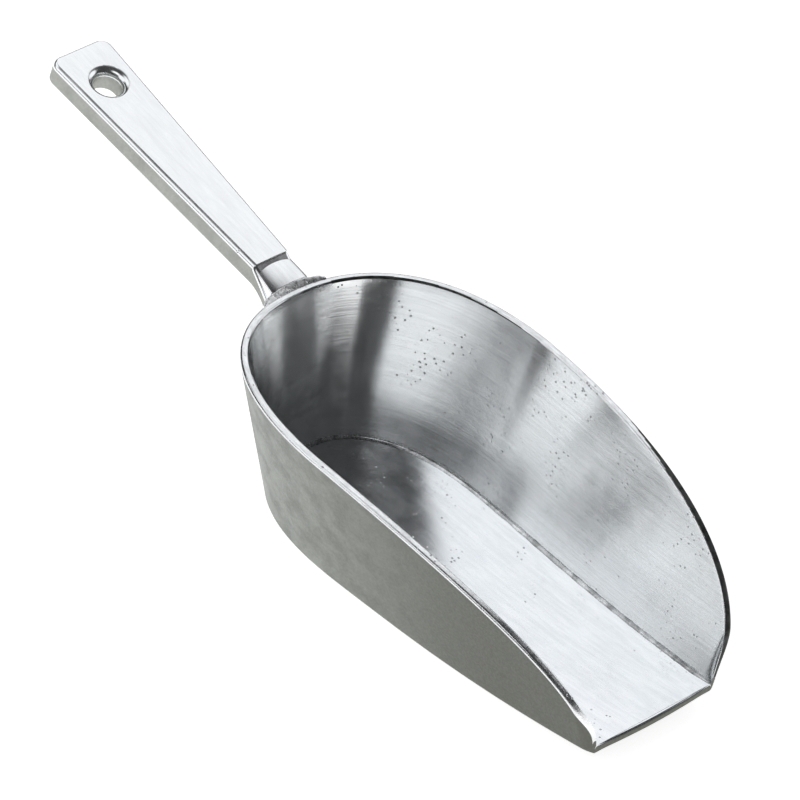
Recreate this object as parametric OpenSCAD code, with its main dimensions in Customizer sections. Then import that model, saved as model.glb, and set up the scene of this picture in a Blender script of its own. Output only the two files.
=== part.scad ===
// Ice scoop: a deep drafted bowl with a flat floor, and a tapered bar handle with a hang hole.
// Millimetres. X runs from the handle to the scooping lip, Y is across, Z is up.
// The flat part of the base rests on Z = 0, and the origin is the middle of that flat part.

/* [Floor] */
// Length of the floor, from its round back to the corners of the lip
floor_length = 165; // [150:1:200]
// Greatest width of the floor between the walls
floor_width = 64; // [50:1:78]
// Width of the floor between the walls at the lip
lip_width = 50.5; // [40:1:62]
// Thickness of the floor
floor_thickness = 3; // [2.4:0.1:4]
// Length of the floor that rests flat, measured from its round back
flat_length = 82; // [60:1:100]
// How far the floor sweeps up at the lip
lip_rise = 6; // [1:0.5:9]
// How far the middle of the lip stands out past its corners
lip_bow = 1.2; // [0.5:0.5:4]
// Share of the wall's thickness that is left at the two corners of the lip
lip_corner_share = 0.5; // [0.3:0.05:0.9]
// Length over which the two corners of the lip are rounded
lip_corner_length = 4; // [1:0.5:8]
// Easing of the lip's top and bottom edges
lip_ease = 0.9; // [0.4:0.1:1.2]

/* [Wall] */
// Thickness of the wall, measured level
wall_thickness = 3.1; // [2.2:0.1:3.6]
// Greatest height of the rim above the flat floor
rim_height = 57.5; // [45:1:70]
// How much lower the rim is at the handle than at its crest
rim_back_drop = 1.5; // [0:0.5:5]
// Height of the wall's end above the lip
lip_wall_height = 2.6; // [2.2:0.1:6]
// Power that sets how far the rim stays high before it falls
rim_fall_start = 3; // [2:0.1:4]
// Power that sets how steeply the rim falls at the lip
rim_fall_end = 2.2; // [1.6:0.1:2.8]
// Radius on both edges of the rim
rim_radius = 0.9; // [0.4:0.1:1]
// Outward slope of the side walls at the back, in degrees
side_draft_back = 16; // [8:1:22]
// Outward slope of the side walls at the lip, in degrees
side_draft_lip = 20; // [10:1:28]
// Outward slope of the back wall, in degrees
back_draft = 13; // [6:1:20]
// Length of the rounded back of the bowl
back_round_length = 50; // [35:1:60]
// Squareness of the rounded back: 2 is an ellipse
back_round_power = 2.4; // [2:0.1:3]
// Power that sets where the sides draw in towards the lip
side_taper_power = 1.3; // [1.1:0.1:2.5]
// Radius under the outside bottom corner
corner_radius = 2.8; // [2:0.1:5]

/* [Beads] */
// Reach of the small fillet bead round the inside of the floor
floor_bead_reach = 1.8; // [1:0.1:2.2]
// Half length of the bead across the neck, along the rim
neck_bead_half_length = 9.5; // [12:1:20]
// How far the neck bead reaches down the outside of the wall
neck_bead_reach = 3; // [2:0.2:5]
// How far the neck bead stands out from the rim
neck_bead_bulge = 2.4; // [0.8:0.1:3]

/* [Handle] */
// Length of the bar, from the end of its top face at the neck to its free end
handle_length = 102.4; // [80:1:130]
// Width of the bar at the neck
handle_neck_width = 15.5; // [10:0.5:17]
// Width of the bar at its free end
handle_end_width = 24.7; // [19:0.1:30]
// Thickness of the bar
handle_thickness = 8.4; // [6:0.2:11]
// Slope of the bar up from level, in degrees
handle_pitch = 12; // [4:1:20]
// Height of the bar's top face above the rim, at the neck
handle_step = 6.1; // [5:0.2:9]
// Gap between the rim and the end of the bar's top face
neck_gap = 10.6; // [9:0.2:16]
// Radius along the top and bottom edges of the bar
handle_edge_radius = 1.6; // [0.6:0.1:2.4]
// Radius of the corners at the free end, seen from above
handle_corner_radius = 4; // [2.5:0.5:7]
// How much wider the neck is on each side where it meets the wall
neck_flare = 2.5; // [1:0.5:6]
// How much deeper the neck is where it meets the wall
neck_depth = 8.5; // [3:0.5:14]

/* [Tang] */
// Width of the tang where it leaves the bar
tang_width = 13.4; // [9:0.2:13]
// Width of the tang where it meets the rim
tang_rim_width = 16; // [11:0.2:17]
// Depth that the tang is let into the bar
tang_socket = 5; // [2:0.5:9]
// Thickness of the tang
tang_thickness = 4; // [2.5:0.1:5]
// How much the top of the tang is crowned across its width
tang_crown = 1.2; // [0.4:0.1:2]
// Step from the bar's top face down to the tang
tang_step = 0.7; // [0.3:0.1:1.5]
// Height of the tang above the rim where the two meet
tang_rim_rise = 2.1; // [1:0.1:3.5]

/* [Hang hole] */
// Radius of the hang hole
hang_hole_radius = 5; // [3:0.1:6.5]
// Distance of the hang hole from the free end
hang_hole_inset = 16.8; // [12:0.2:22]
// Depth and width of the bevel round the top of the hang hole
hang_hole_bevel = 2.7; // [0.5:0.1:3.2]
// Depth and width of the bevel round the bottom of the hang hole
hang_hole_back_bevel = 0.4; // [0.2:0.1:1.5]

/* [Hidden] */

cast_colour = [0.66, 0.67, 0.65];
bright_colour = [0.85, 0.86, 0.87];
bead_colour = [0.75, 0.76, 0.77];

// Steps along the outlines and round the small curves
side_steps = 26;
back_steps = 44;
lip_steps = 8;
arc_steps = 4;
bar_steps = 10;
end_steps = 7;
neck_steps = 9;
tang_steps = 8;
under_steps = 3;
// How strongly the side steps crowd towards the lip, where the rim is steep
side_crowding = 2;
// How late the lip's top edge draws back towards its two corners
lip_square = 4;
// Shares of the neck bead's bulge, outward and upward, at the points of its face
neck_bead_profile = [[0.45, 0.5], [0.6, 0.9], [0.9, 0.35], [0.7, 0]];
// Share of the bulge that is left at the neck bead's two ends
neck_bead_end_share = 0.15;
// Share of the rim's height at which the neck's cut starts
neck_cut_share = 0.25;
// Share of the handle's step that the bar falls at the neck, and how far and how soon it hollows
neck_fall_share = 0.9;
neck_hollow = 1.8;
neck_hollow_power = 0.5;
// How strongly the neck's sections crowd towards the end of the bar's top face
neck_crowding = 1.6;
// Share of the bar's width that counts where it wraps round the wall, which is wider at the rim
neck_wrap_share = 0.72;
// Free end: share of the edge radius that eases it, how late it sets in, and what the radius loses
end_ease_share = 0.6;
end_ease_power = 4;
end_radius_loss = 0.3;
// Tang: fullness of its crown, width of its nose, how fast the nose widens, and how it falls
tang_crown_power = 0.7;
tang_nose_share = 0.55;
tang_nose_rate = 3;
tang_fall_power = 1.3;

// Positions along X
back_x = -flat_length / 2;
round_x = back_x + back_round_length;
lip_x = back_x + floor_length;
rise_x = back_x + flat_length;
crest_x = back_x + back_round_length / 2;
// Heights
rim_crest_z = floor_thickness + rim_height;
lip_wall_z = floor_thickness + lip_rise + lip_wall_height;
rim_back_z = rim_crest_z - rim_back_drop;
// Outside of the rim at the middle of the back
rim_back_x = back_x - (rim_back_z - floor_thickness) * tan(back_draft) - wall_thickness;
// Distance from the end of the bar's top face, along that face, to the middle of the wall
neck_reach = (neck_gap + wall_thickness / 2 - handle_step * tan(back_draft))
    / (cos(handle_pitch) - sin(handle_pitch) * tan(back_draft));
// End of the bar's top face at the neck
bar_x = rim_back_x - neck_gap;
bar_z = rim_back_z + handle_step;
// Share of the wall's height that the neck bead covers
neck_bead_share = neck_bead_reach / (rim_back_z - floor_thickness);
hole_s = handle_length - hang_hole_inset;
// Length that makes a cut run clear past a face
clear = 1;

function share(value, low, high) = min(1, max(0, (value - low) / (high - low)));

function floor_z(x) = floor_thickness + lip_rise * pow(share(x, rise_x, lip_x), 2);

function rim_z(x) =
    let (fall = pow(1 - pow(share(x, back_x, lip_x), rim_fall_start), 1 / rim_fall_end))
    let (dip = rim_back_drop * pow(1 - share(x, back_x, crest_x), 2))
    lip_wall_z + (rim_crest_z - lip_wall_z) * fall - dip;

// A station is [x, y, outward x, outward y] on the corner between floor and wall
function side_station(step, side) =
    let (along = pow(step / side_steps, side_crowding))
    let (x = lip_x - (lip_x - round_x) * along)
    let (narrowing = (floor_width - lip_width) / 2 * pow(1 - along, side_taper_power))
    [x, side * (floor_width / 2 - narrowing), 0, side];

function back_station(step) =
    let (angle = 180 * step / back_steps)
    let (across = cos(angle), along = sin(angle), power = 2 / back_round_power)
    let (x = back_x + back_round_length * (1 - pow(along, power)))
    let (y = -sign(across) * floor_width / 2 * pow(abs(across), power))
    let (out_x = -pow(along, 2 - power) / back_round_length)
    let (out_y = -sign(across) * pow(abs(across), 2 - power) / (floor_width / 2))
    let (size = norm([out_x, out_y]))
    [x, y, out_x / size, out_y / size];

outline = concat(
    [for (i = [0:side_steps]) side_station(i, -1)],
    [for (i = [1:back_steps - 1]) back_station(i)],
    [for (i = [side_steps:-1:0]) side_station(i, 1)]
);
middle = (len(outline) - 1) / 2;

function wall_slope(st) =
    let (side = tan(side_draft_back + (side_draft_lip - side_draft_back) * share(st[0], back_x, lip_x)))
    let (back_share = max(0, -st[2]))
    side * (1 - back_share) + tan(back_draft) * back_share;

// Share of an outward distance that is kept near the lip, which rounds its corners
function lip_corner(x) =
    sqrt(1 - (1 - pow(lip_corner_share, 2)) * pow(1 - share(lip_x - x, 0, lip_corner_length), 2));

// A section point [out, up] is measured from the corner between floor and wall
function place(st, p) =
    let (out = p[0] > 0 ? p[0] * lip_corner(st[0]) : p[0])
    [st[0] + st[2] * out, st[1] + st[3] * out, floor_z(st[0]) + p[1]];

function arc(centre, radius, from, to, steps) =
    [for (i = [0:steps]) let (a = from + (to - from) * i / steps) centre + radius * [cos(a), sin(a)]];

function corner_arc_centre(st) =
    let (slope = wall_slope(st), draft = atan(slope), up = corner_radius - floor_thickness)
    [wall_thickness + slope * (up - corner_radius * sin(draft)) - corner_radius * cos(draft), up];

// Angle on the corner radius where the wall ends and the floor plate begins
function mitre_angle(st) = -(90 + atan(wall_slope(st))) / 2;

function mitre_point(st) =
    corner_arc_centre(st) + corner_radius * [cos(mitre_angle(st)), sin(mitre_angle(st))];

function rim_edge_arc(st, side) =
    let (slope = wall_slope(st), draft = atan(slope), up = rim_z(st[0]) - floor_z(st[0]) - rim_radius)
    let (out = slope * up + (side < 0 ? 0 : wall_thickness) - side * rim_radius / cos(draft))
    side < 0 ? arc([out, up], rim_radius, 180 - draft, 90, arc_steps)
             : arc([out, up], rim_radius, 90, -draft, arc_steps);

function bead_wall_point(st) = floor_bead_reach * [wall_slope(st), 1];

function bead_end_point(st) =
    let (slope = wall_slope(st), up = (rim_z(st[0]) - floor_z(st[0])) * (1 - neck_bead_share) - rim_radius)
    [wall_thickness + slope * up, up];

// Section of the wall: inner face, rim, outer face, then the mitre back to the corner
function wall_section(st) = concat(
    [[0, 0], bead_wall_point(st)],
    rim_edge_arc(st, -1),
    rim_edge_arc(st, 1),
    [bead_end_point(st)],
    arc(corner_arc_centre(st), corner_radius, -atan(wall_slope(st)), mitre_angle(st), arc_steps)
);

// Section of the floor bead: a small hollow fillet in the corner
function floor_bead_section(st) =
    let (top = bead_wall_point(st), foot = [-floor_bead_reach, 0])
    concat(
        [[0, 0]],
        [for (i = [0:arc_steps]) let (part = i / arc_steps) foot * pow(1 - part, 2) + top * pow(part, 2)]
    );

// Line of the neck bead's raised face, which fades out towards its two ends
function neck_bead_face(st) =
    let (rim = rim_edge_arc(st, 1), low = bead_end_point(st))
    let (fade = sqrt(1 - pow(min(1, abs(st[1]) / neck_bead_half_length), 2)))
    let (bulge = neck_bead_bulge * (neck_bead_end_share + (1 - neck_bead_end_share) * fade))
    let (base = [rim[0], rim[arc_steps / 2], rim[arc_steps], (rim[arc_steps] + low) / 2])
    concat([rim[0]], base + bulge * neck_bead_profile, [low]);

function neck_bead_section(st) =
    let (rim = rim_edge_arc(st, 1), face = neck_bead_face(st))
    concat(face, [for (i = [arc_steps:-1:1]) rim[i]]);

// Stations at the back of the bowl no further than a width from the middle
function back_stations(half) = [for (st = outline) if (abs(st[1]) < half && st[2] < 0) st];

// Section of the wall and bead together, used only to cut the neck parts to fit against them
function neck_cut_section(st) =
    let (face = neck_bead_face(st), low_up = rim_height * neck_cut_share)
    let (low_out = wall_slope(st) * low_up)
    concat(face, [[low_out + wall_thickness, low_up], [low_out, low_up], rim_edge_arc(st, -1)[0]]);

// Triangles that join rings of equal length, closed by a cap on the first and last ring
function band_faces(ring, size) =
    [for (j = [0:size - 1])
        let (a = ring * size + j, b = ring * size + (j + 1) % size)
        each [[a, b, b + size], [a, b + size, a + size]]];

// Triangles that close a ring, either all from its first point or paired across a slender ring
function fan_cap(size) = [for (j = [1:size - 2]) [0, j, j + 1]];

function paired_cap(size) =
    [for (j = [0:size / 2 - 1])
        let (k = size - j)
        each concat(
            j > 0 ? [[j, j + 1, k]] : [],
            j + 1 < k - 1 ? [[j + 1, k - 1, k % size]] : []
        )];

module loft(rings, cap = [], size = 0) {
    faces = concat(
        [for (f = cap) [f[2], f[1], f[0]]],
        [for (i = [0:len(rings) - 2]) each band_faces(i, size)],
        [for (f = cap) [for (j = f) j + (len(rings) - 1) * size]]
    );
    polyhedron(points = [for (ring = rings) each ring], faces = faces);
}

module fan_loft(rings) {
    loft(rings, fan_cap(len(rings[0])), len(rings[0]));
}

module paired_loft(rings) {
    loft(rings, paired_cap(len(rings[0])), len(rings[0]));
}

// Turns a list so that the point at the given place comes first
function turned(points, first) = [for (i = [0:len(points) - 1]) points[(i + first) % len(points)]];

module bowl_wall() {
    color(cast_colour)
    fan_loft([for (st = outline) [for (p = turned(wall_section(st), 3 + 2 * arc_steps)) place(st, p)]]);
}

module floor_bead() {
    color(bead_colour)
    fan_loft([for (st = outline) [for (p = floor_bead_section(st)) place(st, p)]]);
}

module neck_bead() {
    stations = back_stations(neck_bead_half_length);
    color(bead_colour)
    paired_loft([for (st = stations) [for (p = neck_bead_section(st)) place(st, p)]]);
}

// The lip between the two ends of the wall: it bows forward, and its edges are eased
function lip_ring(inset, up) =
    [for (i = [1:lip_steps - 1])
        let (y = lip_width / 2 * cos(180 * i / lip_steps), bow = lip_bow * (1 - pow(2 * y / lip_width, 2)))
        [lip_x + bow - inset * (1 - pow(2 * y / lip_width, lip_square)), y, floor_z(lip_x) + up]];

// Rings of the floor plate from its top edge, down the mitre and round the corner to its underside
function plate_ring(p, inset, up) = concat([for (st = outline) place(st, p(st))], lip_ring(inset, up));

function under_arc(st, part) =
    let (a = mitre_angle(st) + (-90 - mitre_angle(st)) * part)
    corner_arc_centre(st) + corner_radius * [cos(a), sin(a)];

plate_rings = concat(
    [
        plate_ring(function (st) [0, 0], lip_ease, 0),
        plate_ring(function (st) mitre_point(st), 0, -lip_ease)
    ],
    [for (i = [1:under_steps])
        let (part = i / under_steps, inset = lip_ease * (1 - cos(90 * part)))
        let (up = lip_ease * (1 - sin(90 * part)) - floor_thickness)
        plate_ring(function (st) under_arc(st, part), inset, up)]
);
plate_size = len(plate_rings[0]);

// The top or underside of the plate as strips that run straight across it
function strip_faces(base, flip) = concat(
    [for (i = [0:middle - 2])
        let (a = base + i, b = base + i + 1, c = base + 2 * middle - i - 1, d = base + 2 * middle - i)
        each flip ? [[a, c, b], [a, d, c]] : [[a, b, c], [a, c, d]]],
    [let (a = base + middle - 1, b = base + middle, c = base + middle + 1) flip ? [a, c, b] : [a, b, c]],
    [let (front = concat([base], [for (i = [plate_size - 1:-1:2 * middle]) base + i]))
        flip ? front : [for (i = [len(front) - 1:-1:0]) front[i]]]
);

module floor_plate() {
    rings = len(plate_rings);
    color(bright_colour)
    polyhedron(
        points = [for (ring = plate_rings) each ring],
        faces = concat(
            strip_faces(0, true),
            [for (i = [0:rings - 2]) each band_faces(i, plate_size)],
            strip_faces((rings - 1) * plate_size, false)
        )
    );
}

// How far the back of the outline lies forward of its middle at a distance to one side
function back_set(y) =
    let (part = min(1, 2 * abs(y) * neck_wrap_share / floor_width))
    back_round_length * (1 - pow(1 - pow(part, back_round_power), 1 / back_round_power));

// Rounded rectangle across the bar: half width, top, bottom and edge radius. At the wall, where
// lean is 1, the ring leans with the wall's draft and wraps round its curve.
function bar_ring(s, half, top, bottom, radius, lean = 0) =
    [for (k = [0:3], i = [0:arc_steps])
        let (a = 90 * k + 90 * i / arc_steps)
        let (side = (k == 0 || k == 3) ? 1 : -1, level = k < 2 ? top - radius : bottom + radius)
        let (y = side * (half - radius) + radius * cos(a), z = level + radius * sin(a))
        [lean * (back_set(y) - z * tan(handle_pitch + back_draft)) - s, y, z]];

function bar_half_width(s) =
    (handle_neck_width + (handle_end_width - handle_neck_width) * s / handle_length) / 2;

// Sections of the neck, where the bar widens and deepens towards the wall
function neck_ring(step) =
    let (part = pow(1 - step / neck_steps, neck_crowding))
    let (hollow = neck_hollow * pow(sin(180 * part), neck_hollow_power))
    let (fall = handle_step * neck_fall_share * (1 - cos(90 * part)))
    bar_ring(
        -part * neck_reach,
        bar_half_width(0) + neck_flare * pow(part, 2),
        -fall - hollow,
        -handle_thickness - neck_depth * pow(part, 2),
        handle_edge_radius * (1 + part),
        part
    );

// Sections that close the free end with rounded corners
function end_ring(step) =
    let (a = 90 * step / end_steps)
    let (s = handle_length - handle_corner_radius * (1 - sin(a)))
    let (ease = handle_edge_radius * end_ease_share * pow(step / end_steps, end_ease_power))
    bar_ring(
        s,
        bar_half_width(s) - handle_corner_radius * (1 - cos(a)),
        -ease,
        ease - handle_thickness,
        handle_edge_radius - ease * end_radius_loss
    );

bar_rings = concat(
    [for (i = [0:neck_steps]) neck_ring(i)],
    [for (i = [1:bar_steps])
        let (s = (handle_length - handle_corner_radius) * i / bar_steps)
        bar_ring(s, bar_half_width(s), 0, -handle_thickness, handle_edge_radius)],
    [for (i = [1:end_steps]) end_ring(i)]
);

module on_handle() {
    translate([bar_x, 0, bar_z])
    rotate([0, handle_pitch, 0])
    children();
}

// Section of the tang: a flat underside and a crowned top
function tang_ring(x, half, crest) =
    let (edge = crest - tang_crown)
    concat(
        [[x, half, crest - tang_thickness]],
        [for (i = [0:2 * arc_steps])
            let (a = 180 * i / (2 * arc_steps))
            [x, half * cos(a), edge + tang_crown * pow(sin(a), tang_crown_power)]],
        [[x, -half, crest - tang_thickness]]
    );

module tang_blank() {
    start_x = bar_x - tang_socket;
    start_z = bar_z - tang_step;
    end_x = rim_back_x - rim_radius;
    end_z = rim_back_z + tang_rim_rise;
    fan_loft([for (i = [tang_steps:-1:0])
        let (part = i / tang_steps, x = start_x + (end_x - start_x) * part)
        let (nose = min(1, tang_nose_share + tang_nose_rate * part))
        let (half = (tang_width + (tang_rim_width - tang_width) * part) / 2)
        tang_ring(x, half * nose, start_z + (end_z - start_z) * pow(part, tang_fall_power))]);
}

module neck_cut() {
    half = handle_neck_width / 2 + 2 * neck_flare;
    fan_loft([for (st = back_stations(half)) [for (p = neck_cut_section(st)) place(st, p)]]);
}

module neck_tang() {
    color(bright_colour)
    difference() {
        tang_blank();
        neck_cut();
    }
}

module hang_hole() {
    translate([-hole_s, 0, -handle_thickness - clear])
    cylinder(r = hang_hole_radius, h = handle_thickness + 2 * clear, $fn = 96);
    translate([-hole_s, 0, -hang_hole_bevel])
    cylinder(
        r1 = hang_hole_radius,
        r2 = hang_hole_radius + hang_hole_bevel + clear,
        h = hang_hole_bevel + clear,
        $fn = 96
    );
    translate([-hole_s, 0, -handle_thickness - clear])
    cylinder(
        r1 = hang_hole_radius + hang_hole_back_bevel + clear,
        r2 = hang_hole_radius,
        h = hang_hole_back_bevel + clear,
        $fn = 96
    );
}

module handle() {
    color(bright_colour)
    difference() {
        on_handle() fan_loft(bar_rings);
        tang_blank();
        neck_cut();
        on_handle() hang_hole();
    }
}

bowl_wall();
floor_plate();
floor_bead();
neck_bead();
neck_tang();
handle();
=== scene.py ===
# %% [markdown]
# # An ice scoop in cast aluminium
#
# This lesson dresses a metal ice scoop. Its engineering model gives every size and place, and
# stays as it is. Blender then builds a finer skin over each part and gives each skin its finish.
# A real scoop like this is poured in a sand mould, so most of it is dull and slightly uneven.
# Afterwards somebody grinds the inside, the floor and the rim, and polishes the top of the handle.
# That is why one metal shows several finishes, and why each finish gets its own material here.

# %% Load the engineering model
import math

import bmesh
import bpy
from mathutils import Matrix, Vector, noise


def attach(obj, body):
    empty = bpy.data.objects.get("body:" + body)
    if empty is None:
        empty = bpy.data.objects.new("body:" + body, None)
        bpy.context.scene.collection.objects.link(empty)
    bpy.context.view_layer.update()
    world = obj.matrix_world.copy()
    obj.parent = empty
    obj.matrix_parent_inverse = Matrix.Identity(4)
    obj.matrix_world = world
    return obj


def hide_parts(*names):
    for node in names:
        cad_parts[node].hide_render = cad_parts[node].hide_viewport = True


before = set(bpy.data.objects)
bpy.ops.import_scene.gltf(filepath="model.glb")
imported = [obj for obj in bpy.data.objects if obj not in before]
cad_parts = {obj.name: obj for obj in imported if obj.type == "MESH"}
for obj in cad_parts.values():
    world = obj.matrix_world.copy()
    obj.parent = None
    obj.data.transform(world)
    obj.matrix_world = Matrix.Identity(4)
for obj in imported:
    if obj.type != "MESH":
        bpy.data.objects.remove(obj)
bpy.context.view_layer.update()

# %% [markdown]
# ## Sizes
#
# Blender works in metres, but a scoop is easier to think about in millimetres. So every size
# below is in millimetres, and points are turned into metres only when a mesh is made.
# The skins use the same sizes as the engineering model, so they lie exactly on its surfaces.

# %% Sizes of the bowl
mm = 0.001

floor_length, floor_width, lip_width = 165, 64, 50.5
floor_thickness, flat_length, lip_rise, lip_bow = 3, 82, 6, 1.2
wall_thickness, rim_height, rim_back_drop, lip_wall_height = 3.1, 57.5, 1.5, 2.6
rim_fall_start, rim_fall_end, rim_radius = 3, 2.2, 0.9
side_draft_back, side_draft_lip, back_draft = 16, 20, 13
back_round_length, back_round_power, side_taper_power = 50, 2.4, 1.3
corner_radius, lip_corner_share, lip_corner_length, lip_ease = 2.8, 0.5, 4, 0.9
floor_bead_reach, neck_bead_half_length, neck_bead_reach, neck_bead_bulge = 1.8, 9.5, 3, 2.4

# %% Sizes of the handle and its neck
handle_length, handle_neck_width, handle_end_width, handle_thickness = 102.4, 15.5, 24.7, 8.4
handle_pitch, handle_step, neck_gap = 12, 6.1, 10.6
handle_edge_radius, handle_corner_radius, neck_flare, neck_depth = 1.6, 4, 2.5, 8.5
tang_width, tang_rim_width, tang_socket, tang_thickness = 13.4, 16, 5, 4
tang_crown, tang_step, tang_rim_rise = 1.2, 0.7, 2.1
neck_fall_share, neck_hollow, neck_hollow_power, neck_wrap_share = 0.9, 1.8, 0.5, 0.72
hang_hole_radius, hang_hole_inset, hang_hole_bevel, hang_hole_back_bevel = 5, 16.8, 2.7, 0.4

# %% Places that follow from the sizes
back_x = -flat_length / 2
round_x = back_x + back_round_length
lip_x = back_x + floor_length
rise_x = back_x + flat_length
crest_x = back_x + back_round_length / 2
rim_crest_z = floor_thickness + rim_height
lip_wall_z = floor_thickness + lip_rise + lip_wall_height
rim_back_z = rim_crest_z - rim_back_drop
rim_back_x = back_x - (rim_back_z - floor_thickness) * math.tan(math.radians(back_draft)) - wall_thickness
bar_x, bar_z = rim_back_x - neck_gap, rim_back_z + handle_step
pitch, draft = math.radians(handle_pitch), math.tan(math.radians(back_draft))
neck_reach = (neck_gap + wall_thickness / 2 - handle_step * draft) / (math.cos(pitch) - math.sin(pitch) * draft)
print("back of the rim at", round(rim_back_x, 1), "mm, top of the handle's neck at", round(bar_z, 1), "mm")

# %% [markdown]
# ## The bowl's outline
#
# The bowl is a wall that runs in a horseshoe round a flat floor. The horseshoe could be a path
# with a bevel, but the wall changes height, slope and foot all the way round. So the outline is
# a list of stations, and each station says where the wall's foot is and which way is outward.

# %% Heights along the bowl
def share(value, low, high):
    return min(1.0, max(0.0, (value - low) / (high - low)))


def floor_z(x):
    return floor_thickness + lip_rise * share(x, rise_x, lip_x) ** 2


def rim_z(x):
    fall = (1 - share(x, back_x, lip_x) ** rim_fall_start) ** (1 / rim_fall_end)
    dip = rim_back_drop * (1 - share(x, back_x, crest_x)) ** 2
    return lip_wall_z + (rim_crest_z - lip_wall_z) * fall - dip


# %% Stations round the horseshoe
class Station:
    def __init__(self, x, y, out_x, out_y):
        size = math.hypot(out_x, out_y)
        self.x, self.y, self.out_x, self.out_y = x, y, out_x / size, out_y / size
        side = math.tan(math.radians(side_draft_back + (side_draft_lip - side_draft_back) * share(x, back_x, lip_x)))
        back = max(0.0, -self.out_x)
        self.slope = side * (1 - back) + math.tan(math.radians(back_draft)) * back
        self.floor, self.rim = floor_z(x), rim_z(x)
        near_lip = 1 - share(lip_x - x, 0, lip_corner_length)
        self.ease = math.sqrt(1 - (1 - lip_corner_share**2) * near_lip**2)
        self.run = 0.0

    def place(self, out, up):
        if out > 0:
            out *= self.ease
        return Vector((self.x + self.out_x * out, self.y + self.out_y * out, self.floor + up))


def side_station(along, side):
    narrowing = (floor_width - lip_width) / 2 * (1 - along) ** side_taper_power
    return Station(lip_x - (lip_x - round_x) * along, side * (floor_width / 2 - narrowing), 0, side)


def back_station(turn):
    across, along, power = math.cos(turn), math.sin(turn), 2 / back_round_power
    sign = 1 if across > 0 else -1
    return Station(
        back_x + back_round_length * (1 - along**power),
        -sign * floor_width / 2 * abs(across) ** power,
        -(along ** (2 - power)) / back_round_length,
        -sign * abs(across) ** (2 - power) / (floor_width / 2),
    )


# %% [markdown]
# The stations crowd towards the lip, where the rim comes down steeply, and round the back,
# where the wall turns. Each one also remembers how far along the wall it is, because the
# grinding marks on the inside run along the wall and the material needs to know that way.

# %% Lay out the stations
side_steps, back_steps = 90, 180
outline = [side_station((i / side_steps) ** 2, -1) for i in range(side_steps + 1)]
outline += [back_station(math.pi * i / back_steps) for i in range(1, back_steps)]
outline += [side_station((i / side_steps) ** 2, 1) for i in range(side_steps, -1, -1)]
for before, station in zip(outline, outline[1:]):
    station.run = before.run + math.hypot(station.x - before.x, station.y - before.y)
print(len(outline), "stations over", round(outline[-1].run), "mm of wall")


# %% [markdown]
# ## A helper that skins a list of rings
#
# Every piece here is a skin over cross-sections. `skin` joins ring to ring with quads, closes the
# ends, and gives each strip the finish it is asked for. It could be a lofting add-on, but this
# much is short. Edges sharper than a set angle stay crisp, and the rest is shaded smooth.

# %% Skin rings into a mesh
def skin(name, rings, finishes, finish_of_strip=None, crisp=40, grain=None):
    shape = bmesh.new()
    rows = [[shape.verts.new(point * mm) for point in ring] for ring in rings]
    size = len(rings[0])
    for i, (row, after) in enumerate(zip(rows, rows[1:])):
        for j in range(size):
            k = (j + 1) % size
            face = shape.faces.new((row[j], row[k], after[k], after[j]))
            face.material_index = finish_of_strip(j, i) if finish_of_strip else 0
    for row in (rows[0], rows[-1]):
        end = shape.faces.new(row)
        end.material_index = finish_of_strip(size - 1, 0) if finish_of_strip else 0
    bmesh.ops.recalc_face_normals(shape, faces=shape.faces)
    return finished(name, shape, finishes, crisp, grain)


def finished(name, shape, finishes, crisp=40, grain=None):
    mesh = bpy.data.meshes.new(name)
    shape.to_mesh(mesh)
    shape.free()
    for finish in finishes:
        mesh.materials.append(finish)
    mesh.shade_smooth()
    mesh.set_sharp_from_angle(angle=math.radians(crisp))
    if grain:
        way = mesh.attributes.new("grain", "FLOAT_VECTOR", "POINT")
        for i, value in enumerate(grain):
            way.data[i].vector = value
    piece = bpy.data.objects.new(name, mesh)
    bpy.context.scene.collection.objects.link(piece)
    print(name, "has", len(mesh.polygons), "faces")
    return piece


def arc(centre, radius, start, end, steps):
    turns = [math.radians(start + (end - start) * i / steps) for i in range(steps + 1)]
    return [(centre[0] + radius * math.cos(a), centre[1] + radius * math.sin(a)) for a in turns]


# %% [markdown]
# ## Aluminium
#
# Bare aluminium is a metal shader with a light grey colour. What makes it look ground, cast or
# polished is its roughness and its small relief. All the finishes below are one recipe with
# different amounts. Slow noise moves the colour and the relief, because a casting is never flat.
# Fine noise stretched along the grain makes the grinding marks. Cells with a small dark centre
# make the pits that sand and gas leave in a casting. It could be painted in images, but noise
# has no seams and any size.

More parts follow.
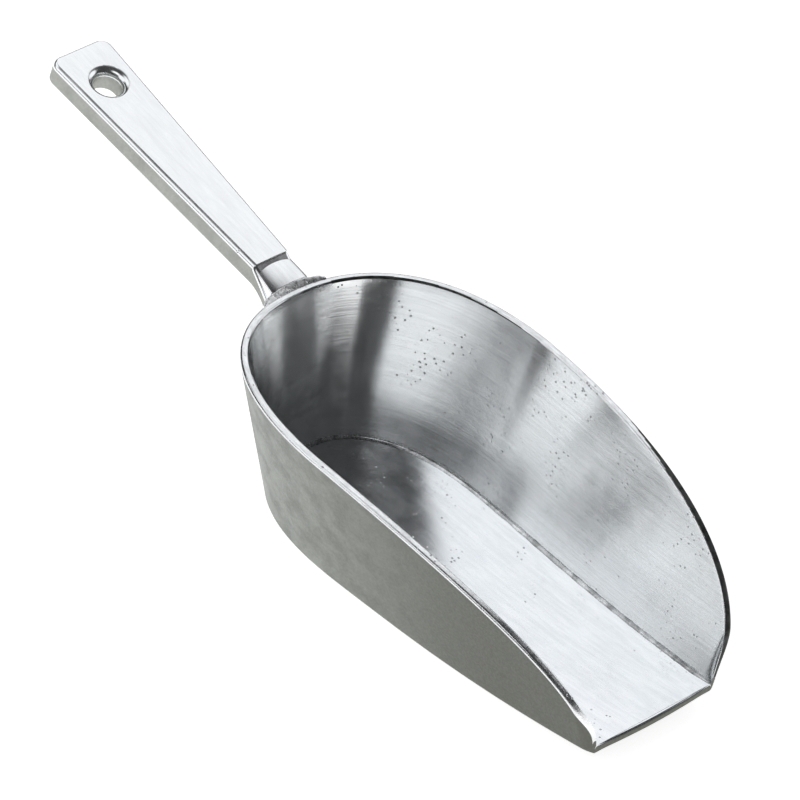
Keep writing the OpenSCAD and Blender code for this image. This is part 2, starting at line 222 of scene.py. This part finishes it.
# %% Node helpers
class Recipe:
    def __init__(self, name, tree=None):
        if not tree:
            self.material = bpy.data.materials.new(name)
            self.material.use_nodes = True
            tree = self.material.node_tree
            self.shader = tree.nodes["Principled BSDF"]
        self.nodes, self.links = tree.nodes, tree.links
        self.places = self.nodes.new("ShaderNodeTexCoord").outputs["Object"]
        way = self.nodes.new("ShaderNodeAttribute")
        way.attribute_name = "grain"
        self.grain = way.outputs["Vector"]

    def link(self, start, end):
        self.links.new(start, end)

    def scaled(self, source, scale):
        node = self.nodes.new("ShaderNodeVectorMath")
        node.operation = "MULTIPLY"
        self.link(source, node.inputs[0])
        node.inputs[1].default_value = scale
        return node.outputs[0]

    def noise(self, source, scale, detail=3.0, roughness=0.5, distortion=0.0):
        node = self.nodes.new("ShaderNodeTexNoise")
        self.link(self.scaled(source, scale), node.inputs["Vector"])
        node.inputs["Scale"].default_value = 1.0
        node.inputs["Detail"].default_value = detail
        node.inputs["Roughness"].default_value = roughness
        node.inputs["Distortion"].default_value = distortion
        return node.outputs["Fac"]

    def cells(self, source, scale, randomness=1.0):
        node = self.nodes.new("ShaderNodeTexVoronoi")
        self.link(self.scaled(source, scale), node.inputs["Vector"])
        node.inputs["Scale"].default_value = 1.0
        node.inputs["Randomness"].default_value = randomness
        return node.outputs["Distance"]

    def remap(self, source, low, high, to_low=0.0, to_high=1.0):
        node = self.nodes.new("ShaderNodeMapRange")
        node.interpolation_type = "SMOOTHSTEP"
        self.link(source, node.inputs["Value"])
        for socket, value in zip(("From Min", "From Max", "To Min", "To Max"), (low, high, to_low, to_high)):
            node.inputs[socket].default_value = value
        return node.outputs["Result"]

    def maths(self, operation, a, b):
        node = self.nodes.new("ShaderNodeMath")
        node.operation = operation
        for socket, value in zip(node.inputs, (a, b)):
            if isinstance(value, (int, float)):
                socket.default_value = value
            else:
                self.link(value, socket)
        return node.outputs[0]

    def blend(self, part, low, high):
        node = self.nodes.new("ShaderNodeMix")
        node.data_type = "RGBA"
        self.link(part, node.inputs["Factor"])
        for socket, value in ((node.inputs[6], low), (node.inputs[7], high)):
            if isinstance(value, tuple):
                socket.default_value = (*value, 1)
            else:
                self.link(value, socket)
        return node.outputs[2]

    def bump(self, height, depth, strength=1.0, under=None):
        node = self.nodes.new("ShaderNodeBump")
        node.inputs["Strength"].default_value = strength
        node.inputs["Distance"].default_value = depth * mm
        self.link(height, node.inputs["Height"])
        if under:
            self.link(under, node.inputs["Normal"])
        return node.outputs["Normal"]


def every(size):
    """Scale that makes a pattern repeat about once in this many millimetres of the frame."""
    return (1000 / size,) * 3


# %% [markdown]
# The inside of the bowl is ground by hand with a belt. The marks run round the wall and spread
# the reflections up and down, so the shader's highlights are stretched across the marks. The
# belt takes off most pits and leaves a few, mostly low on the far side.

# %% A finish for ground and polished faces
def ground(name, light, dark, smooth, coarse, wave, pits, marks, stretch, along=(0.05, 2.2, 1.0), use_grain=True):
    r = Recipe(name)
    slow = r.noise(r.places, every(26), 2)
    cloud = r.noise(r.places, every(7), 3, 0.5)
    fine = r.noise(r.grain if use_grain else r.places, along, 4, 0.65)
    scratch = r.noise(r.grain if use_grain else r.places, tuple(0.35 * v for v in along), 2, 0.5, 0.6)
    spots = r.cells(r.places, every(2.0))
    where = r.noise(r.places, every(17), 2, 0.6)
    pit = r.maths("MULTIPLY", r.remap(spots, 0.22, 0.10), r.remap(where, 0.62 - pits, 0.72 - pits))
    tone = r.maths("ADD", r.maths("MULTIPLY", cloud, 0.3), r.maths("MULTIPLY", fine, 0.7))
    colour = r.blend(r.remap(tone, 0.35, 0.65), dark, light)
    colour = r.blend(r.maths("MULTIPLY", pit, 0.5), colour, (0.12, 0.125, 0.13))
    r.link(colour, r.shader.inputs["Base Color"])
    rough = r.remap(r.maths("ADD", r.maths("MULTIPLY", cloud, 0.6), r.maths("MULTIPLY", scratch, 0.4)), 0.35, 0.65, smooth, coarse)
    r.link(rough, r.shader.inputs["Roughness"])
    first = r.bump(slow, wave)
    second = r.bump(fine, marks, under=first)
    third = r.bump(pit, -0.12, under=second)
    r.link(third, r.shader.inputs["Normal"])
    r.shader.inputs["Metallic"].default_value = 1.0
    r.shader.inputs["Anisotropic"].default_value = stretch
    if stretch:
        tangent = r.nodes.new("ShaderNodeTangent")
        tangent.direction_type, tangent.axis = "RADIAL", "Z"
        r.link(tangent.outputs[0], r.shader.inputs["Tangent"])
        r.shader.inputs["Anisotropic Rotation"].default_value = 0.25
    return r.material


ground_wall = ground("ground_wall", (0.96, 0.97, 0.975), (0.86, 0.875, 0.88), 0.14, 0.19, 0.14, 0.11, 0.02, 0.75, (0.03, 1.3, 0.5))
ground_floor = ground("ground_floor", (0.90, 0.915, 0.93), (0.80, 0.82, 0.845), 0.09, 0.16, 0.35, 0.09, 0.012, 0.0, (60, 500, 400), False)
bright_rim = ground("bright_rim", (0.92, 0.93, 0.94), (0.70, 0.71, 0.72), 0.16, 0.34, 0.15, 0.10, 0.03, 0.0, (0.25, 3.0, 1.0))
polished_top = ground("polished_top", (0.93, 0.94, 0.95), (0.87, 0.88, 0.89), 0.16, 0.24, 0.08, 0.0, 0.012, 0.0, (60, 700, 400), False)


# %% [markdown]
# The outside is left as it came from the mould. Sand gives it a fine matt grain and soft dark
# mottling, so this finish is rougher and darker, with no marks from grinding. On the bowl its colour
# also darkens towards the mouth, which is a painted dark reflection.

# %% A finish for faces left as cast
def as_cast(name, light, dark, rough, depth, grain_size=0.9, mottle=9, painted_dark_reflection_tone=None):
    r = Recipe(name)
    patches = r.noise(r.places, every(mottle), 4, 0.6)
    sand = r.noise(r.places, every(grain_size), 3, 0.6)
    slow = r.noise(r.places, every(22), 2)
    colour = r.blend(r.remap(patches, 0.3, 0.7), dark, light)
    # Towards the mouth the colour is darkened: a painted dark reflection, not a tone of the metal.
    if painted_dark_reflection_tone:
        forward = r.nodes.new("ShaderNodeSeparateXYZ")
        r.link(r.places, forward.inputs[0])
        painted_reflection_mask = r.remap(r.maths("ADD", forward.outputs["X"], r.maths("MULTIPLY", patches, 0.03)), -0.01, 0.11)
        colour = r.blend(painted_reflection_mask, colour, painted_dark_reflection_tone)
    r.link(colour, r.shader.inputs["Base Color"])
    r.link(r.remap(sand, 0.3, 0.7, rough - 0.06, rough + 0.08), r.shader.inputs["Roughness"])
    r.link(r.bump(sand, depth, under=r.bump(slow, 0.4)), r.shader.inputs["Normal"])
    r.shader.inputs["Metallic"].default_value = 1.0
    return r.material


# The last colour here is the painted dark reflection towards the mouth.
cast_outside = as_cast("cast_outside", (0.34, 0.355, 0.33), (0.22, 0.23, 0.21), 0.46, 0.03, 0.9, 9, (0.13, 0.135, 0.115))
cast_handle = as_cast("cast_handle", (0.40, 0.41, 0.38), (0.33, 0.34, 0.315), 0.44, 0.03)
seam_metal = as_cast("seam_metal", (0.80, 0.81, 0.82), (0.30, 0.305, 0.31), 0.26, 0.02, 0.9, 5)
# This near-black finish is a painted dark reflection: it is laid on strips of the rim where only a dark reflection
# shows.
painted_dark_rim = as_cast("painted_dark_rim", (0.10, 0.105, 0.10), (0.03, 0.032, 0.03), 0.5, 0.05, 0.9, 4)
rough_bead = as_cast("rough_bead", (0.96, 0.96, 0.96), (0.80, 0.81, 0.82), 0.3, 0.14, 1.0, 3)

# %% [markdown]
# ## The wall
#
# One cross-section is carried round the horseshoe. It climbs the inner face, goes over the rim
# with two small roundings, comes down the outer face and turns in under the corner. A solid
# piece of sheet with a thickness modifier would give the same shape, but not this rim.

# %% Cross-section of the wall
inner_rows, outer_rows, arc_steps = 22, 18, 6


def corner_centre(st):
    draft, up = math.atan(st.slope), corner_radius - floor_thickness
    return (wall_thickness + st.slope * (up - corner_radius * math.sin(draft)) - corner_radius * math.cos(draft), up)


def mitre_angle(st):
    return -(90 + math.degrees(math.atan(st.slope))) / 2


def rim_arc(st, side, steps=arc_steps):
    draft, up = math.atan(st.slope), st.rim - st.floor - rim_radius
    out = st.slope * up + (0 if side < 0 else wall_thickness) - side * rim_radius / math.cos(draft)
    if side < 0:
        return arc((out, up), rim_radius, 180 - math.degrees(draft), 90, steps)
    return arc((out, up), rim_radius, 90, -math.degrees(draft), steps)


def between(a, b, count):
    return [(a[0] + (b[0] - a[0]) * i / count, a[1] + (b[1] - a[1]) * i / count) for i in range(1, count)]


def wall_section(st):
    inner, outer = rim_arc(st, -1), rim_arc(st, 1)
    corner = arc(corner_centre(st), corner_radius, -math.degrees(math.atan(st.slope)), mitre_angle(st), arc_steps)
    points = [(0, 0)] + between((0, 0), inner[0], inner_rows) + inner
    points += between(inner[-1], outer[0], 4) + outer
    return points + between(outer[-1], corner[0], outer_rows) + corner


# %% Make the wall
rim_start = inner_rows
rim_end = rim_start + arc_steps + 4 + arc_steps


def wall_finish(strip, st):
    # On the far side, part of the rim takes the near-black finish, a painted dark reflection: the inner rounding
    # towards the back, and more of the rim towards the lip.
    if st.y > neck_bead_half_length:
        behind, ahead = 1 - share(st.x, crest_x - 25, round_x), share(st.x, rise_x - 5, rise_x + 35)
        if rim_start <= strip < rim_start + arc_steps * behind:
            return 3
        if rim_end - 2 - (rim_end - rim_start - arc_steps) * ahead < strip < rim_end - 2:
            return 3
    return 0 if strip < rim_start else (1 if strip < rim_end else 2)


def grain_of(stations, section):
    return [(st.run, up, out) for st in stations for out, up in section(st)]


wall = skin(
    "wall", [[st.place(*p) for p in wall_section(st)] for st in outline],
    [ground_wall, bright_rim, cast_outside, painted_dark_rim], lambda j, i: wall_finish(j, outline[i]), 50, grain_of(outline, wall_section),
)
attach(wall, "root")
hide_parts("bowl_wall")

# %% [markdown]
# ## The floor
#
# The floor is a thick plate that sweeps up a little towards the lip. Its top is a grid of strips
# that run straight across between the two sides, and its edge is rounded over at the lip.

# %% Make the floor
middle = (len(outline) - 1) // 2
across_steps = 24
lip_steps = 24


def lip_row(inset, up):
    row = []
    for i in range(1, lip_steps):
        y = lip_width / 2 * math.cos(math.pi * i / lip_steps)
        part = 2 * y / lip_width
        row.append(Vector((lip_x + lip_bow * (1 - part**2) - inset * (1 - part**4), y, floor_z(lip_x) + up)))
    return row


def under_point(st, part):
    a = math.radians(mitre_angle(st) + (-90 - mitre_angle(st)) * part)
    centre = corner_centre(st)
    return (centre[0] + corner_radius * math.cos(a), centre[1] + corner_radius * math.sin(a))


def plate_edge(section, inset, up):
    return [st.place(*section(st)) for st in outline] + lip_row(inset, up)


def plate_edges():
    edges = []
    for i in range(5):
        a = math.pi / 8 * i
        inset, fall = lip_ease * (1 - math.sin(a)), lip_ease * (1 - math.cos(a))
        edges.append(plate_edge(lambda st, f=i / 4: tuple(f * v for v in under_point(st, 0)), inset, -fall))
    for i in range(1, 7):
        a = math.pi / 12 * i
        inset, rise = lip_ease * (1 - math.cos(a)), lip_ease * (1 - math.sin(a))
        edges.append(plate_edge(lambda st, f=i / 6: under_point(st, f), inset, rise - floor_thickness))
    return edges


def make_floor():
    shape = bmesh.new()
    rows = [[shape.verts.new(point * mm) for point in ring] for ring in plate_edges()]
    size = len(rows[0])
    for row, after in zip(rows, rows[1:]):
        for j in range(size):
            k = (j + 1) % size
            shape.faces.new((row[j], row[k], after[k], after[j])).material_index = 0 if row in rows[:2] else 1
    for row, finish in ((rows[0], 0), (rows[-1], 1)):
        strips = []
        for i in range(middle):
            left, right = row[i], row[2 * middle - i]
            inside = [shape.verts.new(left.co.lerp(right.co, j / across_steps)) for j in range(1, across_steps)]
            strips.append([left, *inside, right])
        for a, b in zip(strips, strips[1:]):
            for j in range(across_steps):
                shape.faces.new((a[j], a[j + 1], b[j + 1], b[j])).material_index = finish
        last = strips[-1]
        for j in range(across_steps):
            shape.faces.new((last[j], last[j + 1], row[middle])).material_index = finish
        front = [row[i] for i in range(size - 1, 2 * middle, -1)]
        near = strips[0]
        shape.faces.new((near[0], *front, *reversed(near[1:]))).material_index = finish
    bmesh.ops.recalc_face_normals(shape, faces=shape.faces)
    return finished("floor", shape, [ground_floor, cast_outside], 35)


floor_piece = make_floor()
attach(floor_piece, "root")
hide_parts("floor_plate")

# %% [markdown]
# ## The bead round the floor
#
# Where the wall meets the floor the grinder could not reach, so a thin rough seam is left. Its
# section is a small hollow fillet, a little wider in some places than in others.

# %% Make the seam bead
def seam_section(st):
    wander = noise.noise(Vector((st.x, st.y, 0)) * 0.22) * 0.35 + noise.noise(Vector((st.x, st.y, 9)) * 0.9) * 0.2
    fade = min(1, 0.25 + (lip_x - st.x) / 10)
    reach = floor_bead_reach * (0.55 + 0.4 * wander) * fade
    top, foot = (reach * st.slope, reach), (-reach, 0)
    curve = [(foot[0] * (1 - t) ** 2 + top[0] * t**2, top[1] * t**2) for t in (i / 8 for i in range(9))]
    return [(0.1, -0.1)] + [(out, up + 0.05) for out, up in curve]


seam = skin("seam_bead", [[st.place(*p) for p in seam_section(st)] for st in outline], [seam_metal], crisp=60)
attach(seam, "root")
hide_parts("floor_bead")


# %% [markdown]
# ## The bead at the neck
#
# A thick grainy roll lies on the rim where the handle joins. It fades out along the rim on both
# sides. Two noises roughen it: a slow one for its lumps and a quick one for its grain.

# %% Make the neck bead
def neck_face(st):
    rim = rim_arc(st, 1, 4)
    up = (st.rim - st.floor) * (1 - neck_bead_reach / (rim_back_z - floor_thickness)) - rim_radius
    low = (wall_thickness + st.slope * up, up)
    fade = math.sqrt(max(0, 1 - min(1, abs(st.y) / neck_bead_half_length) ** 2))
    bulge = neck_bead_bulge * (0.05 + 0.95 * fade)
    raised = [
        (rim[0][0] + 0.45 * bulge, rim[0][1] + 0.5 * bulge),
        (rim[2][0] + 0.6 * bulge, rim[2][1] + 0.9 * bulge),
        (rim[4][0] + 0.9 * bulge, rim[4][1] + 0.35 * bulge),
        ((rim[4][0] + low[0]) / 2 + 0.7 * bulge, (rim[4][1] + low[1]) / 2),
    ]
    return [rim[0], *raised, low], rim


def smooth_through(points, steps):
    """Points on a smooth curve through the given ones."""
    out = []
    for i in range(len(points) - 1):
        p0, p1, p2, p3 = (points[min(max(i + k, 0), len(points) - 1)] for k in (-1, 0, 1, 2))
        for j in range(steps):
            t = j / steps
            out.append(tuple(
                0.5 * (2 * b + (c - a) * t + (2 * a - 5 * b + 4 * c - d) * t * t + (3 * b - a - 3 * c + d) * t**3)
                for a, b, c, d in zip(p0, p1, p2, p3)
            ))
    return out + [points[-1]]


def roughened(point, depth, size):
    return point + noise.noise_vector(point / size) * depth


neck_stations = [st for st in outline if abs(st.y) < neck_bead_half_length and st.out_x < -0.5]
neck_rings = []
for st in neck_stations:
    face, rim = neck_face(st)
    ring = [roughened(st.place(*p), 0.22, 1.6) for p in smooth_through(face, 5)]
    neck_rings.append(ring + [st.place(*rim[i]) for i in (4, 3, 2, 1)])
neck_bead = skin("neck_roll", neck_rings, [rough_bead], crisp=70)
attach(neck_bead, "root")
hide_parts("neck_bead")


# %% [markdown]
# ## The handle
#
# The handle is a flat tapered bar, pitched up from the rim, with rounded corners at its free
# end. Its top is polished and its sides are left as cast. Rings of a rounded rectangle are
# carried along it, and near the wall they widen and deepen so that the bar flows into the bowl.

# %% Rings of the handle
edge_steps, flat_steps = 7, 8


def back_set(y):
    """How far the back of the wall lies forward of its middle, at a distance to one side."""
    part = min(1, 2 * abs(y) * neck_wrap_share / floor_width)
    return back_round_length * (1 - (1 - part**back_round_power) ** (1 / back_round_power))


def bar_ring(s, half, top, bottom, radius, lean=0.0):
    ring = []
    for quarter in range(4):
        side = 1 if quarter in (0, 3) else -1
        level = top - radius if quarter < 2 else bottom + radius
        for i in range(edge_steps + 1):
            a = math.pi / 2 * (quarter + i / edge_steps)
            y, z = side * (half - radius) + radius * math.cos(a), level + radius * math.sin(a)
            slant = math.tan(math.radians(handle_pitch + back_draft))
            ring.append(Vector((lean * (back_set(y) - z * slant) - s, y, z)))
    return ring


def bar_half_width(s):
    return (handle_neck_width + (handle_end_width - handle_neck_width) * s / handle_length) / 2


def neck_ring(part):
    fall = handle_step * neck_fall_share * (1 - math.cos(math.pi / 2 * part))
    hollow = neck_hollow * max(0.0, math.sin(math.pi * part)) ** neck_hollow_power
    return bar_ring(
        -part * neck_reach, bar_half_width(0) + neck_flare * part**2, -fall - hollow,
        -handle_thickness - neck_depth * part**2, handle_edge_radius * (1 + part), part,
    )


def end_ring(part):
    a = math.pi / 2 * part
    s = handle_length - handle_corner_radius * (1 - math.sin(a))
    ease = handle_edge_radius * 0.6 * part**4
    return bar_ring(s, bar_half_width(s) - handle_corner_radius * (1 - math.cos(a)), -ease, ease - handle_thickness, handle_edge_radius - ease * 0.3)


bar_rings = [neck_ring((1 - i / 30) ** 2) for i in range(31)]
straight = handle_length - handle_corner_radius
bar_rings += [bar_ring(straight * i / 40, bar_half_width(straight * i / 40), 0, -handle_thickness, handle_edge_radius) for i in range(1, 41)]
bar_rings += [end_ring(i / 14) for i in range(1, 15)]
on_handle = Matrix.Translation((bar_x, 0, bar_z)) @ Matrix.Rotation(math.radians(handle_pitch), 4, "Y")


def handle_finish(strip, ring):
    return 0 if edge_steps * 0.1 < strip < edge_steps * 1.9 + 1 else 1


handle = skin("handle_bar", [[on_handle @ p for p in ring] for ring in bar_rings], [polished_top, cast_handle], handle_finish, 40)


# %% [markdown]
# The hang hole is cut by a turned plug: a straight shaft with a rounded funnel at the top. A
# boolean is the right tool for a hole through a finished bar, and afterwards the normals are
# weighted by area so that the flat top still looks flat right up to the cut.

# %% Cut the hang hole
def turned_plug(name, profile, sides=96):
    shape = bmesh.new()
    rows = []
    for radius, height in profile:
        turns = [2 * math.pi * i / sides for i in range(sides)]
        ring = [Vector((-hole_s + radius * math.cos(a), radius * math.sin(a), height)) for a in turns]
        rows.append([shape.verts.new((on_handle @ p) * mm) for p in ring])
    for row, after in zip(rows, rows[1:]):
        for j in range(sides):
            k = (j + 1) % sides
            shape.faces.new((row[j], row[k], after[k], after[j])).material_index = 1 if row is rows[0] else 0
    for row in (rows[0], rows[-1]):
        shape.faces.new(row)
    bmesh.ops.recalc_face_normals(shape, faces=shape.faces)
    return finished(name, shape, [polished_top, cast_handle])


hole_s = handle_length - hang_hole_inset
funnel = [(hang_hole_radius + hang_hole_bevel * (1 - math.cos(a)), -hang_hole_bevel * (1 - math.sin(a))) for a in (math.pi / 2 * i / 8 for i in range(9))]
plug = turned_plug("plug", [(hang_hole_radius, -handle_thickness - 1), *funnel, (hang_hole_radius + hang_hole_bevel + 0.6, 1)])
cut = handle.modifiers.new("hang_hole", "BOOLEAN")
cut.operation, cut.solver, cut.object = "DIFFERENCE", "EXACT", plug


def settle(piece):
    """Replace a piece's mesh by what its modifiers make of it."""
    bpy.context.view_layer.update()
    shaped = bpy.data.meshes.new_from_object(piece.evaluated_get(bpy.context.evaluated_depsgraph_get()))
    piece.modifiers.clear()
    piece.data = shaped


settle(handle)
bpy.data.objects.remove(plug)
handle.data.set_sharp_from_angle(angle=math.radians(40))
even = handle.modifiers.new("flat_faces", "WEIGHTED_NORMAL")
even.keep_sharp, even.weight = True, 80
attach(handle, "root")
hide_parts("handle")

# %% [markdown]
# ## The tang
#
# A short bright tongue runs from under the bar's rounded end down onto the rim. It is crowned,
# so it is a loft of shallow arches.

# %% Make the tang
nose_step = 0.25


def tang_rings(steps=30, sides=16):
    rings = []
    start = (bar_x - tang_socket, bar_z - nose_step)
    end = (rim_back_x - rim_radius, rim_back_z + tang_rim_rise)
    for i in range(steps + 1):
        part = i / steps
        x = start[0] + (end[0] - start[0]) * part
        half = (tang_width / 2 + (tang_rim_width - tang_width) / 2 * part) * min(1, 0.55 + 3 * part)
        crest = start[1] + (end[1] - start[1]) * part**1.3
        edge = crest - tang_crown
        turns = [math.pi * j / sides for j in range(sides + 1)]
        arch = [Vector((x, half * math.cos(a), edge + tang_crown * math.sin(a) ** 0.7)) for a in turns]
        rings.append([Vector((x, half, crest - tang_thickness)), *arch, Vector((x, -half, crest - tang_thickness))])
    return rings


tang = skin("tang", tang_rings(), [polished_top], crisp=50)
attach(tang, "root")
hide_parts("neck_tang")

# %% [markdown]
# ## Floor of the studio, camera and lights
#
# Metal shows its surroundings, so the surroundings are half of its look. A wide pale floor lies
# under the scoop. The sky is dim, with soft round windows on some sides that give the broad
# highlights.

# %% The pale floor
def make_studio_floor(half=2.5):
    shape = bmesh.new()
    corners = [(x * half, y * half, -0.1 * mm) for x, y in ((-1, -1), (1, -1), (1, 1), (-1, 1))]
    shape.faces.new([shape.verts.new(c) for c in corners])
    pale = Recipe("pale_floor")
    tone = pale.noise(pale.places, every(300), 2)
    colour = pale.blend(tone, (0.93, 0.93, 0.93), (0.95, 0.95, 0.95))
    pale.link(colour, pale.shader.inputs["Base Color"])
    pale.link(colour, pale.shader.inputs["Emission Color"])
    pale.shader.inputs["Emission Strength"].default_value = 0.85
    pale.shader.inputs["Roughness"].default_value = 0.9
    pale.shader.inputs["Specular IOR Level"].default_value = 0.0
    return finished("studio_floor", shape, [pale.material])


studio_floor = make_studio_floor()

# %% The camera
azimuth, elevation, roll = (math.radians(v) for v in (41.74, 39.06, 9.17))
target, distance = Vector((-2.4, -0.3, 50.4)), 2192.4
back = Vector((math.sin(azimuth) * math.cos(elevation), -math.cos(azimuth) * math.cos(elevation), math.sin(elevation)))
camera = bpy.data.objects.new("camera", bpy.data.cameras.new("camera"))
bpy.context.scene.collection.objects.link(camera)
camera.data.lens, camera.data.sensor_width = 308.2, 36
camera.data.clip_start, camera.data.clip_end = 0.1, 20
level = Vector((math.cos(azimuth), math.sin(azimuth), 0))
above = back.cross(level)
right = math.cos(roll) * level + math.sin(roll) * above
up = -math.sin(roll) * level + math.cos(roll) * above
camera.matrix_world = Matrix.Translation((target + back * distance) * mm) @ Matrix((right, up, back)).transposed().to_4x4()
bpy.context.scene.camera = camera
print("camera stands", round(distance * mm, 2), "m from the scoop")

# %% The sky and its windows
bpy.context.scene.view_settings.view_transform = "Standard"
world = bpy.data.worlds.new("studio")
bpy.context.scene.world = world
world.use_nodes = True
sky = Recipe("sky", world.node_tree)
toward = sky.nodes.new("ShaderNodeTexCoord").outputs["Generated"]


def window(azimuth, elevation, half_angle, softness, strength):
    """Strength of a soft round window in the sky, seen from the scoop."""
    a, e = math.radians(azimuth), math.radians(elevation)
    node = sky.nodes.new("ShaderNodeVectorMath")
    node.operation = "DOT_PRODUCT"
    sky.link(toward, node.inputs[0])
    node.inputs[1].default_value = (math.cos(a) * math.cos(e), math.sin(a) * math.cos(e), math.sin(e))
    far, near = math.cos(math.radians(half_angle + softness)), math.cos(math.radians(half_angle - softness))
    return sky.remap(node.outputs["Value"], far, near, 0.0, strength)


windows = [
    (124, 43, 24, 4, 1.05), (194, 55, 20, 4, 1.1), (244, 34, 24, 4, 1.1),
    (287, 46, 12, 4, 1.3), (305, 46, 11, 3, 1.3), (70, 22, 21, 3, 1.1),
]
light = 0.05
for place in windows:
    light = sky.maths("MAXIMUM", window(*place), light)
sky.link(light, world.node_tree.nodes["Background"].inputs["Strength"])
world.node_tree.nodes["Background"].inputs["Color"].default_value = (0.97, 0.985, 1.0, 1)
